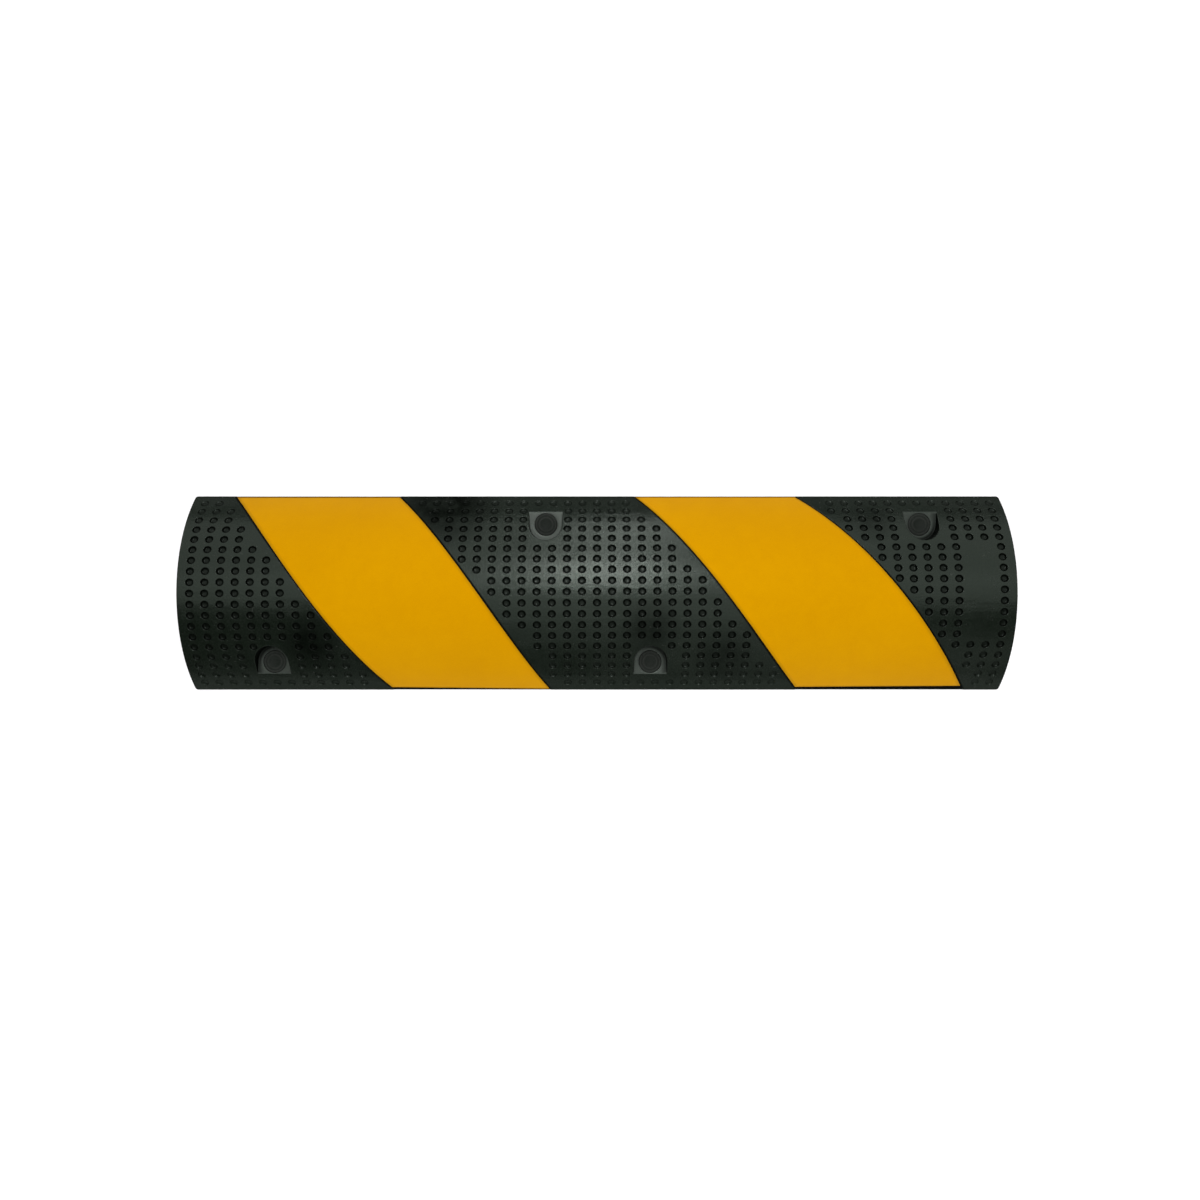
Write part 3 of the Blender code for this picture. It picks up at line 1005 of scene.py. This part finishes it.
def film_material():
    m = Nodes("reflective_film")
    mottle = m.noise(60.0, 4.0, 0.6, distort=0.4)
    broad = m.noise(9.0, 2.0, 0.5)
    fine = m.noise(700.0, 2.0, 0.6)
    beads = m.voronoi(2400.0)
    base = m.mix(m.span(broad, 0.3, 0.7), rgb(0.635, 0.292, 0.0), rgb(0.665, 0.312, 0.0))
    base = m.mix(m.span(mottle, 0.35, 0.72, 0.0, 0.35), base, rgb(0.605, 0.266, 0.0))
    base = m.mix(m.span(fine, 0.4, 0.7, 0.0, 0.25), base, rgb(0.74, 0.360, 0.0))
    # painted shade along the film's cut edge where it meets the recess
    edge = m.attribute("lip")
    base = m.mix(m.math("MULTIPLY", edge, 0.55), base, rgb(0.30, 0.14, 0.004))
    specks = m.span(m.noise(300.0, 1.0, 0.4), 0.74, 0.80, 0.0, 0.15)
    base = m.mix(specks, base, rgb(0.40, 0.20, 0.01))
    m.put(m.bsdf.inputs["Base Color"], base)
    m.put(m.bsdf.inputs["Roughness"], m.span(mottle, 0.3, 0.7, 0.38, 0.48))
    m.put(m.bsdf.inputs["Specular IOR Level"], 0.16)
    m.put(m.bsdf.inputs["Specular Tint"], rgb(1.0, 0.62, 0.02))
    n = m.bump(mottle, 0.0004, 0.35)
    n = m.bump(beads, 0.00003, 0.5, n)
    m.put(m.bsdf.inputs["Normal"], n)
    return m.mat


def plug_material():
    m = Nodes("plug_rubber")
    patch = m.noise(90.0, 3.0, 0.6)
    fine = m.noise(900.0, 3.0, 0.6)
    base = m.mix(m.span(patch, 0.35, 0.7), rgb(0.0112, 0.0150, 0.0115), rgb(0.0150, 0.0184, 0.0150))
    base = m.mix(m.span(fine, 0.45, 0.75, 0.0, 0.3), base, rgb(0.024, 0.027, 0.024))
    # a painted highlight and wear on the plug's ring edges
    base = m.mix(m.math("MULTIPLY", m.attribute("lip"), 0.25), base, rgb(0.040, 0.043, 0.038))
    m.put(m.bsdf.inputs["Base Color"], base)
    m.put(m.bsdf.inputs["Specular IOR Level"], 0.12)
    m.put(m.bsdf.inputs["Roughness"], m.span(patch, 0.3, 0.7, 0.60, 0.78))
    n = m.bump(fine, 0.00015, 0.5)
    m.put(m.bsdf.inputs["Normal"], n)
    return m.mat


def steel_material():
    m = Nodes("zinc_steel")
    spangle = m.voronoi(420.0, out="Color")
    sep = m.new("SeparateColor")
    m.put(sep.inputs[0], spangle)
    tone = sep.outputs[0]
    dark_patch = m.noise(130.0, 4.0, 0.6)
    base = m.mix(m.span(tone, 0.0, 1.0), rgb(0.42, 0.43, 0.44), rgb(0.58, 0.59, 0.60))
    base = m.mix(m.span(dark_patch, 0.55, 0.75, 0.0, 0.5), base, rgb(0.25, 0.22, 0.19))
    m.put(m.bsdf.inputs["Base Color"], base)
    m.put(m.bsdf.inputs["Metallic"], 1.0)
    m.put(m.bsdf.inputs["Roughness"], m.span(dark_patch, 0.3, 0.7, 0.28, 0.5))
    n = m.bump(m.noise(600.0, 2.0), 0.00005, 0.5)
    m.put(m.bsdf.inputs["Normal"], n)
    return m.mat


def floor_material():
    m = Nodes("pale_floor")
    tone = m.noise(3.0, 2.0)
    m.put(m.bsdf.inputs["Base Color"], m.mix(tone, rgb(0.84, 0.84, 0.84), rgb(0.88, 0.88, 0.88)))
    m.put(m.bsdf.inputs["Roughness"], 0.9)
    m.put(m.bsdf.inputs["Specular IOR Level"], 0.1)
    m.put(m.bsdf.inputs["Emission Color"], rgb(1.0, 1.0, 1.0))
    far = m.new("VectorMath", operation="LENGTH")
    m.put(far.inputs[0], m.coord)
    m.put(m.bsdf.inputs["Emission Strength"], m.span(far.outputs["Value"], 1.0, 3.5, 0.35, 0.85))
    return m.mat


def backdrop_material():
    m = Nodes("pale_backdrop")
    tone = m.noise(0.4, 2.0)
    m.put(m.bsdf.inputs["Base Color"], m.mix(tone, rgb(0.10, 0.10, 0.10), rgb(0.12, 0.12, 0.12)))
    m.put(m.bsdf.inputs["Roughness"], 1.0)
    m.put(m.bsdf.inputs["Specular IOR Level"], 0.0)
    m.put(m.bsdf.inputs["Emission Color"], m.mix(tone, rgb(0.98, 0.98, 0.98), rgb(1.0, 1.0, 1.0)))
    m.put(m.bsdf.inputs["Emission Strength"], 0.86)
    return m.mat


# ----------------------------------------------------------------- assembly
rubber = rubber_material()
film_mat = film_material()
plug_mat = plug_material()
steel = steel_material()

body = rubber_body(rubber)
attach(body, "bump")
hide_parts("rubber_body")

for side in STRIPE_SIDES:
    piece = film(side, film_mat)
    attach(piece, "bump")
    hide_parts("reflective_stripe_" + side)

for name, (x, y) in BOLTS.items():
    piece = washer("washer_" + name, x, y, steel)
    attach(piece, "bump")
    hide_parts("steel_washer_" + name)
    piece = plug("plug_" + name, x, y, plug_mat)
    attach(piece, "plug_" + name)
    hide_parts("bolt_plug_" + name)

# ------------------------------------------------- floor, light and camera
floor = Sheet()
ids = [floor.vert((sx * 6.0, sy * 6.0, -0.0002)) for sx, sy in ((-1, -1), (1, -1), (1, 1), (-1, 1))]
floor.faces.append(tuple(ids))
floor = floor.build("floor", mat=floor_material())
floor.visible_glossy = False

backdrop = Sheet()
around = 64
rings = [[backdrop.vert((6.0 * cos(e) * cos(2 * pi * i / around),
                         6.0 * cos(e) * sin(2 * pi * i / around), 6.0 * sin(e) - 0.0002))
          for i in range(around)] for e in np.linspace(0, 1.48, 18)]
for a, b in zip(rings, rings[1:]):
    backdrop.strip(a, b)
backdrop.fan(rings[-1], backdrop.vert((0.0, 0.0, 6.0)))
backdrop = backdrop.build("backdrop", mat=backdrop_material())
backdrop.visible_glossy = backdrop.visible_diffuse = backdrop.visible_shadow = False


def area_light(name, at, look, size_x, size_y, power, tint=(1.0, 1.0, 1.0)):
    data = bpy.data.lights.new(name, "AREA")
    data.shape = "RECTANGLE"
    data.size, data.size_y = size_x, size_y
    data.energy = power
    data.color = tint
    ob = bpy.data.objects.new(name, data)
    bpy.context.scene.collection.objects.link(ob)
    ob.location = at
    ob.rotation_mode = "QUATERNION"
    ob.rotation_quaternion = (Vector(look) - Vector(at)).to_track_quat("-Z", "Y")
    return ob


# a broad softbox behind and above, a wide panel overhead that fades towards
# the front, a narrow strip over the middle with a second one behind it, and
# soft fills from the front
area_light("broad_softbox", (0.0, 1.22, 1.495), (0.0, 0.0, 0.0), 3.8, 2.12, 23.0)
area_light("overhead_panel", (0.0, 0.05, 2.0), (0.0, 0.05, 0.0), 3.8, 0.82, 9.3)
area_light("overhead_front", (0.20, -0.635, 2.0), (0.20, -0.635, 0.0), 1.6, 0.55, 2.4)
area_light("overhead_far_front", (0.25, -1.40, 2.0), (0.25, -1.0, 0.0), 1.7, 1.00, 2.2)
area_light("strip_overhead", (0.02, 0.62, 1.95), (0.01, 0.0, 0.0), 0.10, 0.85, 8.5, (1.0, 0.94, 1.0))
area_light("strip_rear", (0.10, 1.60, 1.35), (0.03, 0.0, 0.0), 0.13, 1.20, 5.0, (1.0, 0.94, 1.0))
area_light("front_right_panel", (0.80, -1.60, 1.10), (0.2, 0.0, 0.0), 1.6, 1.0, 1.3)
fill = area_light("front_fill", (0.0, -1.70, 1.50), (0.0, 0.0, 0.0), 2.6, 1.2, 22.0)
fill.visible_glossy = False

world = bpy.data.worlds.new("studio")
bpy.context.scene.world = world
world.use_nodes = True
sky = world.node_tree
up = sky.nodes.new("ShaderNodeSeparateXYZ")
sky.links.new(sky.nodes.new("ShaderNodeTexCoord").outputs["Generated"], up.inputs[0])
ramp = sky.nodes.new("ShaderNodeValToRGB")     # dim overhead, pale along the horizon
ramp.color_ramp.elements[0].position = 0.0
ramp.color_ramp.elements[0].color = (0.05, 0.05, 0.05, 1)
ramp.color_ramp.elements[1].position = 1.0
ramp.color_ramp.elements[1].color = (0.05, 0.05, 0.05, 1)
for at, tone in ((0.46, 0.06), (0.49, 0.48), (0.54, 0.48), (0.64, 0.07)):
    ramp.color_ramp.elements.new(at).color = (tone * 0.98, tone, tone * 0.98, 1)
half = sky.nodes.new("ShaderNodeMath")
half.operation = "MULTIPLY_ADD"
half.inputs[1].default_value = half.inputs[2].default_value = 0.5
sky.links.new(up.outputs["Z"], half.inputs[0])
sky.links.new(half.outputs[0], ramp.inputs["Fac"])
sky.links.new(ramp.outputs["Color"], sky.nodes["Background"].inputs["Color"])
sky.nodes["Background"].inputs["Strength"].default_value = 1.0

camera = bpy.data.cameras.new("camera")
camera.lens = 24.0
camera.sensor_width = 36.0
camera.shift_x = 3 / 1200
camera.shift_y = -7 / 1200
camera.clip_start, camera.clip_end = 0.01, 50
camera_ob = bpy.data.objects.new("camera", camera)
bpy.context.scene.collection.objects.link(camera_ob)
camera_ob.location = (0.0, 0.0, 1.0)
bpy.context.scene.camera = camera_ob
bpy.context.scene.view_settings.view_transform = "Standard"
